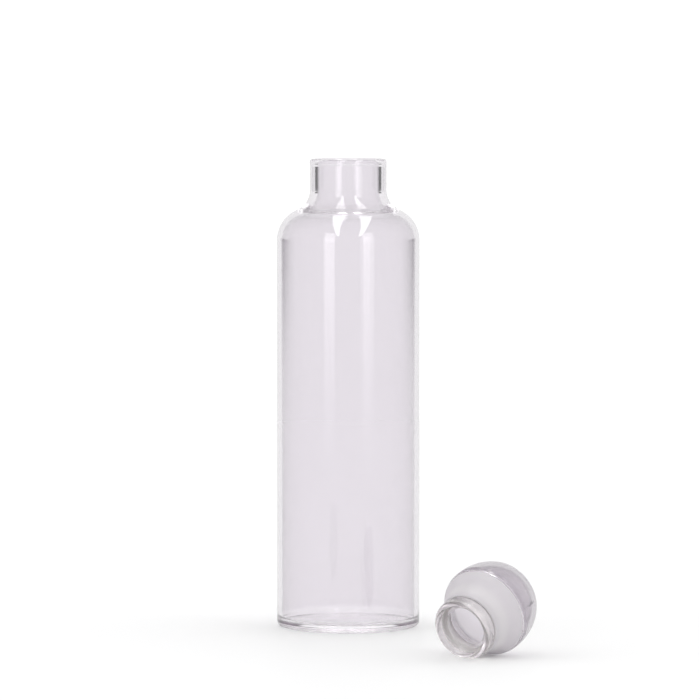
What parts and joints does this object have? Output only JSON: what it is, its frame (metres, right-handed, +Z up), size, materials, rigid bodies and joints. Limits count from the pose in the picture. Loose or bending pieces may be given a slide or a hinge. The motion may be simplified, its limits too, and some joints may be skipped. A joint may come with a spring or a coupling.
{
  "type": "glass water bottle",
  "caption": "Cylindrical clear glass water bottle with round shoulder and short plain neck, and a hollow glass stopper with a flared silicone seal lying beside it.",
  "frame": {"origin": "centre of the bottle's flat base, on the surface it stands on", "axes": "+Z up along the bottle's axis through the mouth; -Y is the front, where the stopper lies to the right"},
  "size_m": [0.1411, 0.2078, 0.262],
  "materials": {
    "bottle_glass": "clear, polished",
    "stopper_glass": "clear, slightly wavy as blown",
    "silicone": "translucent, satin"
  },
  "bodies": {
    "bottle": {"bottle_body": "bottle_glass"},
    "stopper": {"stopper_glass": "stopper_glass", "stopper_seal": "silicone"}
  },
  "joints": [
    {"name": "stopper_lift", "type": "slide", "parent": "bottle", "child": "stopper", "axis": [0, 0, 1], "range_m": [0, 0.28]}
  ]
}
